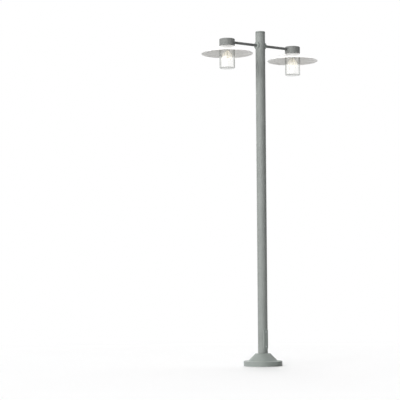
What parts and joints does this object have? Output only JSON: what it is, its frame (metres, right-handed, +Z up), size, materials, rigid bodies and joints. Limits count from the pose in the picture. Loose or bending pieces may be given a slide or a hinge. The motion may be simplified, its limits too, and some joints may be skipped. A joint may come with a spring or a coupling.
{
  "type": "lamp post",
  "caption": "Round steel lamp post on a conical cast foot; level arms carry lanterns with a flat white conical shade and a clear glass round a lamp, to light paths and gardens.",
  "frame": {"origin": "on the ground, on the post's axis", "axes": "+Z up the post, X along the arms, -Y out of the access door"},
  "size_m": [1.05, 0.4, 2.622],
  "materials": {
    "painted_steel": "satin",
    "painted_cast_aluminium": "satin",
    "white_enamel": "satin",
    "clear_glass": "polished",
    "bulb_glass": "polished",
    "led_filament": "matte",
    "nickelled_brass": "satin",
    "brass": "satin",
    "porcelain": "gloss",
    "rubber_seal": "matte",
    "galvanised_steel": "satin",
    "zinc_plated_steel": "satin",
    "fuse_box_plastic": "matte"
  },
  "bodies": {
    "root": {"post_tube": "painted_steel", "right_arm": "painted_steel", "left_arm": "painted_steel", "foot_cover": "painted_cast_aluminium", "post_cap": "painted_cast_aluminium", "access_door": "painted_cast_aluminium", "right_arm_boss": "painted_cast_aluminium", "left_arm_boss": "painted_cast_aluminium", "right_lantern_cap": "painted_cast_aluminium", "left_lantern_cap": "painted_cast_aluminium", "right_shade": "white_enamel", "left_shade": "white_enamel", "right_glass": "clear_glass", "left_glass": "clear_glass", "right_bulb_envelope": "bulb_glass", "left_bulb_envelope": "bulb_glass", "right_bulb_stem": "bulb_glass", "left_bulb_stem": "bulb_glass", "right_bulb_filaments": "led_filament", "left_bulb_filaments": "led_filament", "right_bulb_base": "nickelled_brass", "left_bulb_base": "nickelled_brass", "right_lampholder_nipple": "brass", "left_lampholder_nipple": "brass", "right_lampholder": "porcelain", "left_lampholder": "porcelain", "post_cap_seal": "rubber_seal", "door_gasket": "rubber_seal", "right_cap_gasket": "rubber_seal", "left_cap_gasket": "rubber_seal", "right_glass_gasket": "rubber_seal", "left_glass_gasket": "rubber_seal", "base_flange": "galvanised_steel", "gear_plate": "galvanised_steel", "right_lampholder_bracket": "galvanised_steel", "left_lampholder_bracket": "galvanised_steel", "foot_cover_screw": "zinc_plated_steel", "post_cap_screw": "zinc_plated_steel", "door_bridges": "zinc_plated_steel", "door_screws": "zinc_plated_steel", "earth_stud": "zinc_plated_steel", "earth_nut": "zinc_plated_steel", "arm_set_screws": "zinc_plated_steel", "bracket_screws": "zinc_plated_steel", "right_arm_washer": "zinc_plated_steel", "left_arm_washer": "zinc_plated_steel", "right_arm_nut": "zinc_plated_steel", "left_arm_nut": "zinc_plated_steel", "fuse_box": "fuse_box_plastic"}
  },
  "joints": []
}
